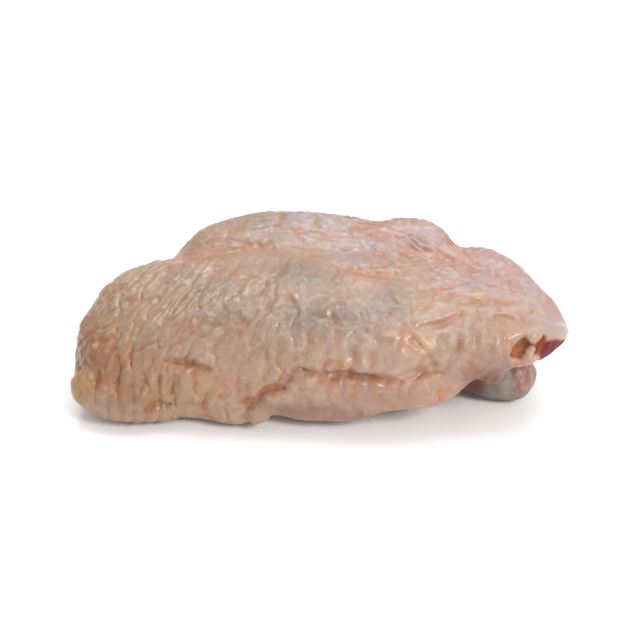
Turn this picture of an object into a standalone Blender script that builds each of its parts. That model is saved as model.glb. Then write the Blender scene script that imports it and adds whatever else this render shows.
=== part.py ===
"""Raw chicken wing, folded at the elbow and lying skin side up.

The elbow is at -X, the cut shoulder at +X and the open side of the fold at the back.
The skin and the flesh under it are one solid. The humerus runs through the front limb,
and its head shows below the cut shoulder.
"""

import math

import bmesh
import bpy
import numpy as np
from mathutils import Vector, noise

# Driving dimensions, in metres.
LENGTH = 0.112
DEPTH = 0.069
HEIGHT = 0.036
SOCKET_GAP = 0.0004

# A station of a limb: centre x, y, z and half sizes across and up.
# x is in lengths, y and across in depths, z and up in heights.
UPPER_ARM = (
    (-0.500, -0.345, 0.19, 0.15, 0.18),
    (-0.430, -0.300, 0.31, 0.22, 0.30),
    (-0.320, -0.220, 0.39, 0.29, 0.39),
    (-0.100, -0.190, 0.43, 0.31, 0.46),
    (0.130, -0.190, 0.47, 0.28, 0.39),
    (0.310, -0.220, 0.58, 0.21, 0.23),
    (0.470, -0.260, 0.55, 0.12, 0.14),
)
SAG = (
    (-0.500, -0.390, 0.19, 0.130, 0.19),
    (-0.410, -0.415, 0.19, 0.130, 0.19),
    (-0.300, -0.370, 0.17, 0.110, 0.17),
    (-0.200, -0.380, 0.16, 0.100, 0.16),
    (-0.090, -0.450, 0.14, 0.080, 0.13),
)
FOREARM = (
    (-0.430, -0.120, 0.25, 0.12, 0.18),
    (-0.350, -0.030, 0.36, 0.16, 0.25),
    (-0.290, 0.030, 0.44, 0.17, 0.32),
    (-0.230, 0.060, 0.51, 0.19, 0.39),
    (-0.090, 0.080, 0.53, 0.22, 0.43),
    (0.060, 0.110, 0.48, 0.22, 0.40),
    (0.200, 0.160, 0.34, 0.19, 0.29),
    (0.330, 0.230, 0.28, 0.14, 0.24),
)
WEB_EDGE = (
    (-0.040, 0.150, 0.72, 0.09, 0.12),
    (0.120, 0.170, 0.79, 0.08, 0.12),
    (0.180, 0.145, 0.78, 0.08, 0.12),
    (0.225, 0.100, 0.63, 0.08, 0.11),
    (0.290, 0.090, 0.70, 0.08, 0.11),
    (0.400, -0.050, 0.57, 0.08, 0.11),
    (0.465, -0.230, 0.53, 0.08, 0.10),
)
WEB_FILL = (
    (-0.150, 0.020, 0.35, 0.24, 0.37),
    (0.100, 0.040, 0.36, 0.30, 0.38),
    (0.280, 0.050, 0.36, 0.25, 0.37),
    (0.400, -0.050, 0.43, 0.15, 0.25),
)
HAND = (
    (0.350, 0.240, 0.25, 0.13, 0.26),
    (0.250, 0.310, 0.20, 0.125, 0.225),
    (0.080, 0.325, 0.16, 0.115, 0.190),
    (-0.110, 0.290, 0.12, 0.095, 0.150),
    (-0.300, 0.210, 0.09, 0.060, 0.115),
)
HEM = (
    (-0.130, -0.390, 0.13, 0.065, 0.13),
    (-0.050, -0.395, 0.15, 0.075, 0.14),
    (0.030, -0.385, 0.21, 0.075, 0.15),
    (0.130, -0.385, 0.28, 0.075, 0.15),
    (0.200, -0.390, 0.32, 0.070, 0.14),
    (0.270, -0.325, 0.45, 0.065, 0.13),
    (0.340, -0.280, 0.58, 0.060, 0.12),
)
FLAP = (
    (0.290, -0.310, 0.54, 0.050, 0.10),
    (0.325, -0.350, 0.44, 0.045, 0.09),
    (0.345, -0.370, 0.35, 0.035, 0.06),
)
HUMERUS = (
    (0.415, -0.135, 0.145, 0.060, 0.110),
    (0.385, -0.135, 0.150, 0.092, 0.155),
    (0.330, -0.135, 0.160, 0.098, 0.165),
    (0.260, -0.150, 0.210, 0.075, 0.130),
    (0.180, -0.170, 0.290, 0.055, 0.100),
    (-0.060, -0.180, 0.380, 0.046, 0.088),
    (-0.280, -0.180, 0.390, 0.046, 0.088),
)

# The limbs that the skin covers, each with how blunt its ends and how square its section are.
COVERED = (
    (UPPER_ARM, 7.0, 2.4),
    (SAG, 5.0, 2.2),
    (FOREARM, 3.5, 2.1),
    (WEB_EDGE, 5.0, 2.0),
    (WEB_FILL, 4.0, 2.3),
    (HAND, 5.0, 2.0),
    (HEM, 6.0, 2.0),
    (FLAP, 4.0, 2.0),
)

# The skin's relief is laid out as it looks from EYE, in lengths: x and up from VIEW_MIDDLE.
EYE = LENGTH * Vector((0.353, -2.951, 1.830))
LOOK_DOWN = math.radians(25.6)
REACH = 3.286
VIEW_MIDDLE = (-0.375, -0.286)

# An arc of relief: x and up of both ends, how far it bows upward between them,
# its half width and its depth. A crease goes in, and a roll of skin stands out.
CREASES = (
    # Valley between the two limbs.
    (-0.344, 0.111, -0.112, 0.152, -0.004, 0.009, 0.006),
    (0.000, 0.124, 0.160, 0.103, -0.004, 0.009, 0.005),
    # Valley between the forearm and the web's raised edge.
    (0.058, 0.196, 0.300, 0.140, -0.004, 0.009, 0.007),
    # Folds that fan out from the shoulder.
    (0.221, 0.082, 0.381, 0.070, -0.010, 0.008, 0.009),
    (0.181, 0.003, 0.273, 0.031, -0.003, 0.008, 0.008),
    (0.185, -0.017, 0.234, -0.069, 0.004, 0.008, 0.007),
    (0.345, 0.037, 0.417, 0.027, 0.000, 0.007, 0.006),
    # Over the hem.
    (-0.113, -0.138, -0.066, -0.130, 0.002, 0.010, 0.012),
    (-0.080, -0.125, -0.020, -0.092, 0.004, 0.010, 0.013),
    (-0.030, -0.095, 0.284, -0.060, -0.018, 0.010, 0.017),
    # On the sag at the elbow.
    (-0.324, -0.087, -0.222, -0.104, 0.001, 0.009, 0.010),
    (-0.353, -0.191, -0.292, -0.181, 0.006, 0.008, 0.008),
    (-0.152, -0.178, -0.113, -0.155, 0.004, 0.010, 0.010),
)
ROLLS = (
    # Skin above and below the cut flesh.
    (0.400, 0.012, 0.497, 0.026, 0.004, 0.012, 0.009),
    (0.382, -0.050, 0.440, -0.032, -0.006, 0.008, 0.007),
    # Puckers between the folds at the shoulder.
    (0.290, 0.055, 0.400, 0.052, 0.006, 0.011, 0.007),
    (0.275, -0.010, 0.300, -0.055, 0.006, 0.013, 0.006),
)
ARC_POINTS = 24
LIP = 0.3
LIP_OFFSET = 2.1

# The cut across the shoulder, in lengths, and the hollow in it where a vein and fat were.
KNIFE_POINT = (0.446, -0.190, 0.200)
KNIFE_NORMAL = (0.72, -0.58, -0.38)
KNIFE_LUMP = 0.006
KNIFE_LUMP_SIZE = 0.035
POCKET = (0.404, -0.021)
POCKET_RADII = (0.026, 0.018)
POCKET_TILT = math.radians(60)
POCKET_DEPTH = 0.014

# Unevenness of the flesh: the size of its lumps and how far they go in and out.
UNEVEN = ((0.140, 0.011), (0.062, 0.005))

# How finely the pieces are made: the rings of a limb and of the bone, and the points of a ring.
LIMB_RINGS = (48, 40)
BONE_RINGS = (30, 26)
VOXEL = 0.0008
SKIN_SMOOTHING = 26
RELIEF_SMOOTHING = 2
FLESH_TRIANGLES = 9200

# How much of the underside its own weight presses flat.
PRESSED_FLAT = 0.0012
FLOOR_SNAP = 0.00003

SKIN_COLOUR = (0.52, 0.33, 0.235, 1)
SKIN_ROUGHNESS = 0.38
CARTILAGE_COLOUR = (0.62, 0.60, 0.53, 1)
CARTILAGE_ROUGHNESS = 0.3


def clear_scene():
    for old in list(bpy.data.objects):
        bpy.data.objects.remove(old)


def material(name, colour, roughness):
    made = bpy.data.materials.new(name)
    made.use_nodes = True
    surface = made.node_tree.nodes["Principled BSDF"]
    surface.inputs["Base Color"].default_value = colour
    surface.inputs["Roughness"].default_value = roughness
    surface.inputs["Metallic"].default_value = 0
    return made


def new_object(name, mesh):
    """Turns the bmesh into an object of the scene."""
    data = bpy.data.meshes.new(name)
    mesh.to_mesh(data)
    mesh.free()
    made = bpy.data.objects.new(name, data)
    bpy.context.scene.collection.objects.link(made)
    return made


def apply_modifiers(thing):
    """Replaces the object's mesh with its modified one and clears its modifiers."""
    graph = bpy.context.evaluated_depsgraph_get()
    data = bpy.data.meshes.new_from_object(thing.evaluated_get(graph))
    thing.modifiers.clear()
    thing.data = data


def smooth_path(stations, count):
    """Points on a Catmull-Rom curve through the stations, closer together at both ends."""
    knots = np.array(stations, float)
    knots = np.vstack([2 * knots[0] - knots[1], knots, 2 * knots[-1] - knots[-2]])
    spans = len(stations) - 1
    path = []
    for i in range(count):
        along = spans * (1 - math.cos(math.pi * i / (count - 1))) / 2
        span = min(int(along), spans - 1)
        t = along - span
        a, b, c, d = knots[span : span + 4]
        slope = c - a
        bend = 2 * a - 5 * b + 4 * c - d
        twist = 3 * b - a - 3 * c + d
        path.append(b + 0.5 * (slope * t + bend * t**2 + twist * t**3))
    return np.array(path)


def superellipse(turn, squareness):
    """A point of a unit ring: 2 is an ellipse, and more is squarer."""
    c, s = math.cos(turn), math.sin(turn)
    power = 2 / squareness
    return math.copysign(abs(c) ** power, c), math.copysign(abs(s) ** power, s)


def ring_edges(mesh, ring):
    edges = []
    for a, b in zip(ring, ring[1:] + ring[:1]):
        edges.append(mesh.edges.get((a, b)) or mesh.edges.new((a, b)))
    return edges


def limb_mesh(stations, bluntness, squareness, fineness):
    """A closed tube along the stations as a bmesh, rounded off at both ends."""
    ring_count, ring_points = fineness
    path = smooth_path(np.array(stations) * (LENGTH, DEPTH, HEIGHT, DEPTH, HEIGHT), ring_count)
    tangents = np.gradient(path[:, :3], axis=0)
    mesh = bmesh.new()
    rings = []
    for i in range(1, ring_count - 1):
        forward = Vector(tangents[i]).normalized()
        across = forward.cross(Vector((0, 0, 1))).normalized()
        up = across.cross(forward).normalized()
        to_end = abs(math.cos(math.pi * i / (ring_count - 1)))
        closing = math.sqrt(1 - to_end**bluntness)
        ring = []
        for k in range(ring_points):
            side, rise = superellipse(2 * math.pi * k / ring_points, squareness)
            offset = across * side * path[i, 3] + up * rise * path[i, 4]
            ring.append(mesh.verts.new(Vector(path[i, :3]) + offset * closing))
        rings.append(ring)
    for one, other in zip(rings, rings[1:]):
        bmesh.ops.bridge_loops(mesh, edges=ring_edges(mesh, one) + ring_edges(mesh, other))
    for ring in (rings[0], rings[-1]):
        bmesh.ops.contextual_create(mesh, geom=ring_edges(mesh, ring))
    bmesh.ops.recalc_face_normals(mesh, faces=mesh.faces)
    return mesh


def draped_skin():
    """All the limbs under one skin."""
    whole = bmesh.new()
    for stations, bluntness, squareness in COVERED:
        limb = limb_mesh(stations, bluntness, squareness, LIMB_RINGS)
        data = bpy.data.meshes.new("limb")
        limb.to_mesh(data)
        limb.free()
        whole.from_mesh(data)
        bpy.data.meshes.remove(data)
    skin = new_object("wing", whole)
    remesh = skin.modifiers.new("one skin", "REMESH")
    remesh.mode = "VOXEL"
    remesh.voxel_size = VOXEL
    soften(skin, SKIN_SMOOTHING)
    return skin


def soften(thing, rounds):
    smooth = thing.modifiers.new("soften", "SMOOTH")
    smooth.factor = 0.5
    smooth.iterations = rounds
    apply_modifiers(thing)


def seen_from_eye(points):
    """Where each point shows from EYE, in lengths: x and up from VIEW_MIDDLE."""
    rays = points - np.array(EYE)
    ahead = np.array((0, math.cos(LOOK_DOWN), -math.sin(LOOK_DOWN)))
    up = np.array((0, math.sin(LOOK_DOWN), math.cos(LOOK_DOWN)))
    away = rays @ ahead
    across = REACH * rays[:, 0] / away - VIEW_MIDDLE[0]
    rise = REACH * (rays @ up) / away - VIEW_MIDDLE[1]
    return np.stack([across, rise], axis=1)


def arc_relief(view, arc):
    """Depth of a crease at each point: deepest on its arc, with a low lip along both sides."""
    x0, up0, x1, up1, bow, half_width, depth = arc
    t = np.linspace(0, 1, ARC_POINTS)[:, None]
    start, end = np.array((x0, up0)), np.array((x1, up1))
    square_on = np.array((up0 - up1, x1 - x0)) / np.linalg.norm(end - start)
    line = start + (end - start) * t + square_on * bow * 4 * t * (1 - t)
    reach = np.linalg.norm(view[:, None, :] - line[None, :, :], axis=2)
    nearest = t[reach.argmin(axis=1), 0]
    fade = np.clip(5 * np.minimum(nearest, 1 - nearest) + 0.3, 0, 1)
    distance = reach.min(axis=1) / half_width
    groove = np.exp(-(distance**2))
    lip = LIP * np.exp(-((distance - LIP_OFFSET) ** 2))
    return depth * LENGTH * fade * (groove - lip)


def lumpiness(points, size):
    return np.array([noise.noise(Vector(point) / (size * LENGTH)) for point in points])


def pocket_depth(view):
    """A steep-sided oval hollow, seen straight in from EYE."""
    offset = view - POCKET
    along = (offset[:, 0] * math.cos(POCKET_TILT) + offset[:, 1] * math.sin(POCKET_TILT)) / POCKET_RADII[0]
    across = (offset[:, 1] * math.cos(POCKET_TILT) - offset[:, 0] * math.sin(POCKET_TILT)) / POCKET_RADII[1]
    return POCKET_DEPTH * LENGTH * np.exp(-((along**2 + across**2) ** 1.5))


def sculpt(skin):
    """Works the relief into the skin and cuts the shoulder off."""
    mesh = skin.data
    points = np.empty(len(mesh.vertices) * 3)
    mesh.vertices.foreach_get("co", points)
    points = points.reshape(-1, 3)
    normals = np.array([v.normal for v in mesh.vertices])
    from_eye = points - np.array(EYE)
    from_eye /= np.linalg.norm(from_eye, axis=1)[:, None]
    facing = np.clip(0.2 - 4 * (normals * from_eye).sum(axis=1), 0, 1)
    view = seen_from_eye(points)

    inward = sum(amount * LENGTH * lumpiness(points, size) for size, amount in UNEVEN)
    inward += facing * sum(arc_relief(view, crease) for crease in CREASES)
    inward -= facing * sum(arc_relief(view, roll) for roll in ROLLS)
    points -= normals * inward[:, None]

    knife = np.array(Vector(KNIFE_NORMAL).normalized())
    past = (points - np.array(KNIFE_POINT) * LENGTH) @ knife
    past += KNIFE_LUMP * LENGTH * lumpiness(points, KNIFE_LUMP_SIZE)
    points -= knife * np.clip(past, 0, None)[:, None]
    points += from_eye * (facing * pocket_depth(view))[:, None]
    mesh.vertices.foreach_set("co", points.ravel())
    mesh.update()
    soften(skin, RELIEF_SMOOTHING)


def press_flat(skin, floor):
    """Brings all that is below the floor, or within a hair of it, onto the floor."""
    for vertex in skin.data.vertices:
        if vertex.co.z < floor + FLOOR_SNAP:
            vertex.co.z = floor


def lighten(thing, triangles):
    """Brings the object down to about that many triangles."""
    mesh = bmesh.new()
    mesh.from_mesh(thing.data)
    bmesh.ops.triangulate(mesh, faces=mesh.faces)
    share = triangles / len(mesh.faces)
    mesh.to_mesh(thing.data)
    mesh.free()
    fewer = thing.modifiers.new("fewer triangles", "DECIMATE")
    fewer.ratio = share
    apply_modifiers(thing)


def cut_socket(flesh, bone):
    """Hollows the flesh round the bone, with a gap between them."""
    cutter = bpy.data.objects.new("socket", bone.data.copy())
    bpy.context.scene.collection.objects.link(cutter)
    swell = cutter.modifiers.new("gap", "DISPLACE")
    swell.mid_level = 0
    swell.strength = SOCKET_GAP
    cut = flesh.modifiers.new("socket", "BOOLEAN")
    cut.operation = "DIFFERENCE"
    cut.object = cutter
    apply_modifiers(flesh)
    bpy.data.objects.remove(cutter)


def stand_on_origin(things):
    """Moves the things so that the origin is at the bottom middle of the box round them."""
    corners = np.array([vertex.co for thing in things for vertex in thing.data.vertices])
    low, high = corners.min(axis=0), corners.max(axis=0)
    offset = Vector(((low[0] + high[0]) / 2, (low[1] + high[1]) / 2, low[2]))
    for thing in things:
        for vertex in thing.data.vertices:
            vertex.co -= offset


clear_scene()
wing = draped_skin()
sculpt(wing)
resting_height = min(vertex.co.z for vertex in wing.data.vertices) + PRESSED_FLAT
press_flat(wing, resting_height)
lighten(wing, FLESH_TRIANGLES)
press_flat(wing, resting_height)
humerus = new_object("humerus", limb_mesh(HUMERUS, 6.0, 2.2, BONE_RINGS))
cut_socket(wing, humerus)
stand_on_origin((wing, humerus))
for thing, finish in (
    (wing, material("raw skin", SKIN_COLOUR, SKIN_ROUGHNESS)),
    (humerus, material("cartilage", CARTILAGE_COLOUR, CARTILAGE_ROUGHNESS)),
):
    thing.data.materials.clear()
    thing.data.materials.append(finish)
    thing.data.shade_smooth()
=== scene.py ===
"""Looks of a raw chicken wing, folded at the elbow and lying skin side up on a pale surface."""

import math

import bmesh
import bpy
import numpy as np
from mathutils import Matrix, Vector, noise


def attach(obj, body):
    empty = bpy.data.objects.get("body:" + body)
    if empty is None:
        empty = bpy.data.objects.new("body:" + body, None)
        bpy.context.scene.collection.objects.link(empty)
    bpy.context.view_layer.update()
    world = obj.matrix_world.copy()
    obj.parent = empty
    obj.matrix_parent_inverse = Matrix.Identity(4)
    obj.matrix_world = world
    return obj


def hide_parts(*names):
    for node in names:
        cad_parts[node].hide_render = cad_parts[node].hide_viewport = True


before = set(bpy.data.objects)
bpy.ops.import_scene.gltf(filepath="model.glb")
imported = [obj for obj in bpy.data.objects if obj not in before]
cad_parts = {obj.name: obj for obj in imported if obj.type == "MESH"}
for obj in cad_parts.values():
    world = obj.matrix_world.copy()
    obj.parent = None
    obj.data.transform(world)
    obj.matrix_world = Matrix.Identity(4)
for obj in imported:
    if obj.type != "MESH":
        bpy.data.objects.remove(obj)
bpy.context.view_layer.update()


# Head of the upper arm bone.
# The real piece is the humerus, of bone with a thick cap of gristle on its shoulder end.
# It grew inside the meat, and the butcher's cut through the joint laid its smooth cap bare.

MM = 0.001
BONE_SUBDIVISIONS = 2

# Size and height of the head's soft lumps, in metres.
BONE_LUMPS = ((0.009, 0.00030), (0.0035, 0.00007))

# Grooves as start and end (x, up) from the eye, bow, half width, depth, step above and stain.
KNUCKLE_GROOVES = (
    (44.3, -6.5, 43.4, -13.2, -0.6, 0.9, 0.28, 0.1, 0.3),
    (38.2, -10.5, 40.4, -13.8, 0.5, 0.8, 0.16, 0.05, 0.1),
    (45.4, -7.2, 44.6, -11.6, 0.3, 0.4, 0.3, 0.0, 0.0),
    (46.6, -7.4, 45.8, -11.0, 0.3, 0.4, 0.25, 0.0, 0.0),
)
TORN_MEMBRANE = (
    (43.0, -7.0), (46.5, -5.0), (49.5, -7.0), (48.5, -10.5),
    (45.6, -12.6), (44.2, -11.9), (44.8, -9.6),
)
MEMBRANE_RISE = 0.0003

# Relief is laid out as it shows from the photograph's eye, in millimetres from the wing's middle.
EYE = Vector((0.04195, -0.32767, 0.20546))
EYE_LOOKS_DOWN = math.radians(25.6)
CHART_DISTANCE = 368.0
CHART_MIDDLE = (-42.0, -32.0)

# A crease is a bowed line of short straight runs. Beside it stands a low lip: how high as a share
# of the depth, and how far out in half widths. Its brow is a wider step along one side.
ARC_STEPS = 14
ARC_WIDENING = 1.2
LIP = 0.16
LIP_OFFSET = 2.0
BROW_OFFSET = 1.6
BROW_SPREAD = 1.3
STAIN_SPREAD = 0.9


def clean_copy(node, name):
    """A new object with the node's mesh, its loose triangles joined up."""
    mesh = bmesh.new()
    mesh.from_mesh(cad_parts[node].data)
    bmesh.ops.remove_doubles(mesh, verts=mesh.verts, dist=0.000002)
    data = bpy.data.meshes.new(name)
    mesh.to_mesh(data)
    mesh.free()
    made = bpy.data.objects.new(name, data)
    bpy.context.scene.collection.objects.link(made)
    return made


def bake_modifiers(thing):
    """Replaces the object's mesh with its modified one and clears its modifiers."""
    bpy.context.view_layer.update()
    graph = bpy.context.evaluated_depsgraph_get()
    data = bpy.data.meshes.new_from_object(thing.evaluated_get(graph))
    thing.modifiers.clear()
    thing.data = data


def points_of(thing):
    flat = np.empty(len(thing.data.vertices) * 3)
    thing.data.vertices.foreach_get("co", flat)
    return flat.reshape(-1, 3)


def normals_of(thing):
    flat = np.empty(len(thing.data.vertices) * 3)
    thing.data.vertex_normals.foreach_get("vector", flat)
    return flat.reshape(-1, 3)


def move_points(thing, points):
    thing.data.vertices.foreach_set("co", points.ravel())
    thing.data.update()


def seen_from_eye(points):
    """Where each point shows from the eye, as (x, up) on the chart."""
    rays = points - np.array(EYE)
    ahead = np.array((0, math.cos(EYE_LOOKS_DOWN), -math.sin(EYE_LOOKS_DOWN)))
    up = np.array((0, math.sin(EYE_LOOKS_DOWN), math.cos(EYE_LOOKS_DOWN)))
    away = rays @ ahead
    across = CHART_DISTANCE * rays[:, 0] / away - CHART_MIDDLE[0]
    rise = CHART_DISTANCE * (rays @ up) / away - CHART_MIDDLE[1]
    return np.stack([across, rise], axis=1)


def facing_eye(points, normals):
    """1 where the surface faces the eye, and 0 where it has turned away from it."""
    rays = points - np.array(EYE)
    rays /= np.linalg.norm(rays, axis=1)[:, None]
    return np.clip(0.25 - 4 * (normals * rays).sum(axis=1), 0, 1)


def lumps(points, size, offset=0.0):
    """Smooth noise from about -1 to 1 at each point, with lumps of that size."""
    return np.array([noise.noise(Vector(p) / size + Vector((offset, 0, 0))) for p in points])


def smooth_step(values, low, high):
    t = np.clip((values - low) / (high - low), 0, 1)
    return t * t * (3 - 2 * t)


def arc_relief(view, arc):
    """How deep a crease is at each point, in millimetres, and how strongly its line is coloured; on the
    skin's creases that is stain with painted shade.
    """
    x0, up0, x1, up1, bow, half_width, depth, step, stain = arc
    half_width = half_width * ARC_WIDENING
    t = np.linspace(0, 1, ARC_STEPS)[:, None]
    start, end = np.array((x0, up0)), np.array((x1, up1))
    span = np.linalg.norm(end - start)
    square_on = np.array((up0 - up1, x1 - x0)) / span
    line = start + (end - start) * t + square_on * bow * 4 * t * (1 - t)
    relief = np.zeros(len(view))
    colour = np.zeros(len(view))
    margin = 6 * half_width
    inside = ((view > line.min(axis=0) - margin) & (view < line.max(axis=0) + margin)).all(axis=1)
    near = view[inside]
    if not len(near):
        return relief, colour
    runs = line[1:] - line[:-1]
    offsets = near[:, None, :] - line[None, :-1, :]
    share = np.clip((offsets * runs).sum(axis=2) / (runs**2).sum(axis=1), 0, 1)
    gaps = offsets - share[:, :, None] * runs
    reach = np.linalg.norm(gaps, axis=2)
    nearest = reach.argmin(axis=1)
    rows = np.arange(len(near))
    side = np.sign((gaps[rows, nearest] * square_on).sum(axis=1))
    along = (nearest + share[rows, nearest]) / (ARC_STEPS - 1)
    fade = np.clip(5 * np.minimum(along, 1 - along) + 0.25, 0, 1)
    distance = reach[rows, nearest] / half_width
    groove = np.exp(-(distance**1.5)) - LIP * np.exp(-((distance - LIP_OFFSET) ** 2))
    brow = np.where(side > 0, np.exp(-(((distance - BROW_OFFSET) / BROW_SPREAD) ** 2)), 0)
    relief[inside] = fade * (depth * groove - step * brow)
    colour[inside] = fade * stain * np.exp(-((distance / STAIN_SPREAD) ** 2))
    return relief, colour


def in_shape(view, corners):
    """How far inside the closed shape each point shows, in millimetres, or below nought outside."""
    corners = np.array(corners)
    nearest = np.full(len(view), 1e6)
    inside = np.zeros(len(view), bool)
    for start, end in zip(corners, np.roll(corners, -1, axis=0)):
        run = end - start
        offset = view - start
        share = np.clip((offset @ run) / (run @ run), 0, 1)
        nearest = np.minimum(nearest, np.linalg.norm(offset - share[:, None] * run, axis=1))
        if run[1]:
            crossed = (start[1] > view[:, 1]) != (end[1] > view[:, 1])
            inside ^= crossed & (view[:, 0] < start[0] + run[0] * offset[:, 1] / run[1])
    return np.where(inside, nearest, -nearest)


def carve(points, normals, arcs):
    """Works the creases into the points."""
    view = seen_from_eye(points)
    relief = sum(arc_relief(view, arc)[0] for arc in arcs)
    return points - normals * (facing_eye(points, normals) * relief * MM)[:, None]


def store(thing, name, values):
    """Keeps a value for each point of the mesh, for its material or its node tree to read."""
    kept = thing.data.attributes.new(name, "FLOAT", "POINT")
    kept.data.foreach_set("value", values.astype(np.float32))


def new_material(name):
    made = bpy.data.materials.new(name)
    made.use_nodes = True
    return made, made.node_tree, made.node_tree.nodes["Principled BSDF"]


def add(tree, kind, **settings):
    made = tree.nodes.new(kind)
    for key, value in settings.items():
        setattr(made, key, value)
    return made


def feed(socket, value):
    """Links the socket to another one, or sets it."""
    if isinstance(value, bpy.types.NodeSocket):
        socket.id_data.links.new(value, socket)
    else:
        socket.default_value = value


def set_inputs(node, values):
    for name, value in values.items():
        node.inputs[name].default_value = value


def reckon(tree, operation, first, second=0.0, third=0.0):
    node = add(tree, "ShaderNodeMath", operation=operation)
    for socket, value in zip(node.inputs, (first, second, third)):
        feed(socket, value)
    return node.outputs[0]


def ramp(tree, value, low, high, to_low=0.0, to_high=1.0):
    """A smooth step from to_low to to_high while the value goes from low to high."""
    node = add(tree, "ShaderNodeMapRange", interpolation_type="SMOOTHSTEP")
    for name, given in (
        ("Value", value),
        ("From Min", low),
        ("From Max", high),
        ("To Min", to_low),
        ("To Max", to_high),
    ):
        feed(node.inputs[name], given)
    return node.outputs["Result"]


def tint(tree, colour, other, share):
    """Mixes the other colour into the colour by that share."""
    node = add(tree, "ShaderNodeMix", data_type="RGBA")
    feed(node.inputs["Factor"], share)
    feed(node.inputs["A"], colour)
    feed(node.inputs["B"], other)
    return node.outputs["Result"]


def mottle(tree, where, size, detail=2.0, roughness=0.55, stretch=(1, 1, 1)):
    """Noise of that size in metres, from 0 to 1."""
    mapping = add(tree, "ShaderNodeMapping")
    feed(mapping.inputs["Vector"], where)
    mapping.inputs["Scale"].default_value = stretch
    node = add(tree, "ShaderNodeTexNoise")
    feed(node.inputs["Vector"], mapping.outputs["Vector"])
    set_inputs(node, {"Scale": 1 / size, "Detail": detail, "Roughness": roughness})
    return node.outputs["Factor" if "Factor" in node.outputs else "Fac"]


def kept_value(tree, name):
    return add(tree, "ShaderNodeAttribute", attribute_name=name).outputs["Fac"]


# Gristle, darkened by painted shade, the membrane's streaks, and the blood from where the bone goes
# into the meat, darkened further by painted shade.
GRISTLE_AND_SHADE_COLOURS = ((0.230, 0.190, 0.158, 1), (0.135, 0.104, 0.080, 1))
MEMBRANE_COLOURS = ((0.20, 0.095, 0.070, 1), (0.30, 0.165, 0.130, 1))
BLOOD_AND_SHADE_COLOUR = (0.10, 0.016, 0.009, 1)
BLOOD_AND_SHADE_EDGE = (0.0400, 0.0375)


def gristle_material():
    """Greyish, moist gristle darkened by painted shade, pinker where it goes into the meat, with blood
    darkened by painted shade.
    """
    made, tree, surface = new_material("gristle")
    where = add(tree, "ShaderNodeTexCoord").outputs["Object"]
    place = add(tree, "ShaderNodeSeparateXYZ")
    feed(place.inputs[0], where)
    cloud = mottle(tree, where, 0.006)
    speck = mottle(tree, where, 0.0011, detail=3.0)
    # Two greys of the gristle, both darkened by painted shade.
    colour = tint(tree, *GRISTLE_AND_SHADE_COLOURS, ramp(tree, cloud, 0.35, 0.7))
    streak = mottle(tree, where, 0.0012, detail=2.0, stretch=(1.6, 1.6, 0.4))
    torn = tint(tree, *MEMBRANE_COLOURS, ramp(tree, streak, 0.4, 0.65))
    colour = tint(tree, colour, torn, kept_value(tree, "membrane"))
    # Towards the meat end the gristle turns near black red: blood with painted shade.
    edge = reckon(tree, "MULTIPLY_ADD", speck, 0.003, place.outputs["X"])
    colour = tint(tree, colour, BLOOD_AND_SHADE_COLOUR, ramp(tree, edge, *BLOOD_AND_SHADE_EDGE, 0.0, 0.97))
    feed(surface.inputs["Base Color"], colour)
    feed(surface.inputs["Roughness"], ramp(tree, speck, 0.3, 0.7, 0.40, 0.55))
    set_inputs(surface, {
        "Subsurface Weight": 0.3,
        "Subsurface Radius": (1.0, 0.75, 0.6),
        "Subsurface Scale": 0.0016,
        "Coat Weight": 0.08,
        "Coat Roughness": 0.15,
    })
    bump = add(tree, "ShaderNodeBump")
    set_inputs(bump, {"Strength": 0.35, "Distance": 0.0002})
    feed(bump.inputs["Height"], speck)
    feed(surface.inputs["Normal"], bump.outputs["Normal"])
    return made


humerus = clean_copy("humerus", "humerus_gristle")
rounding = humerus.modifiers.new("rounding", "SUBSURF")
rounding.levels = BONE_SUBDIVISIONS
rounding.render_levels = BONE_SUBDIVISIONS
bake_modifiers(humerus)
bone_points = points_of(humerus)
for size, height in BONE_LUMPS:
    bone_points += normals_of(humerus) * (height * lumps(bone_points, size))[:, None]
membrane = in_shape(seen_from_eye(bone_points), TORN_MEMBRANE)
bone_points += normals_of(humerus) * (MEMBRANE_RISE * smooth_step(membrane, -0.4, 0.5))[:, None]
bone_points = carve(bone_points, normals_of(humerus), KNUCKLE_GROOVES)
move_points(humerus, bone_points)
store(humerus, "membrane", smooth_step(membrane, -0.4, 0.4))
humerus.data.shade_smooth()
humerus.data.materials.clear()
humerus.data.materials.append(gristle_material())
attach(humerus, "root")
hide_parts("humerus")


# Meat under its skin.
# The real piece is the whole wing: muscle, fat and the forearm's bones in one loose skin.
# Nothing is fixed to anything: the skin lies in folds where the bird's joints bent, is pitted
# where feathers were plucked, and the cut at the shoulder shows fat and meat.

SKIN_VOXEL = 0.00038
SKIN_SOFTENING = 44
SKIN_TRIANGLES = 194000
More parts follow.
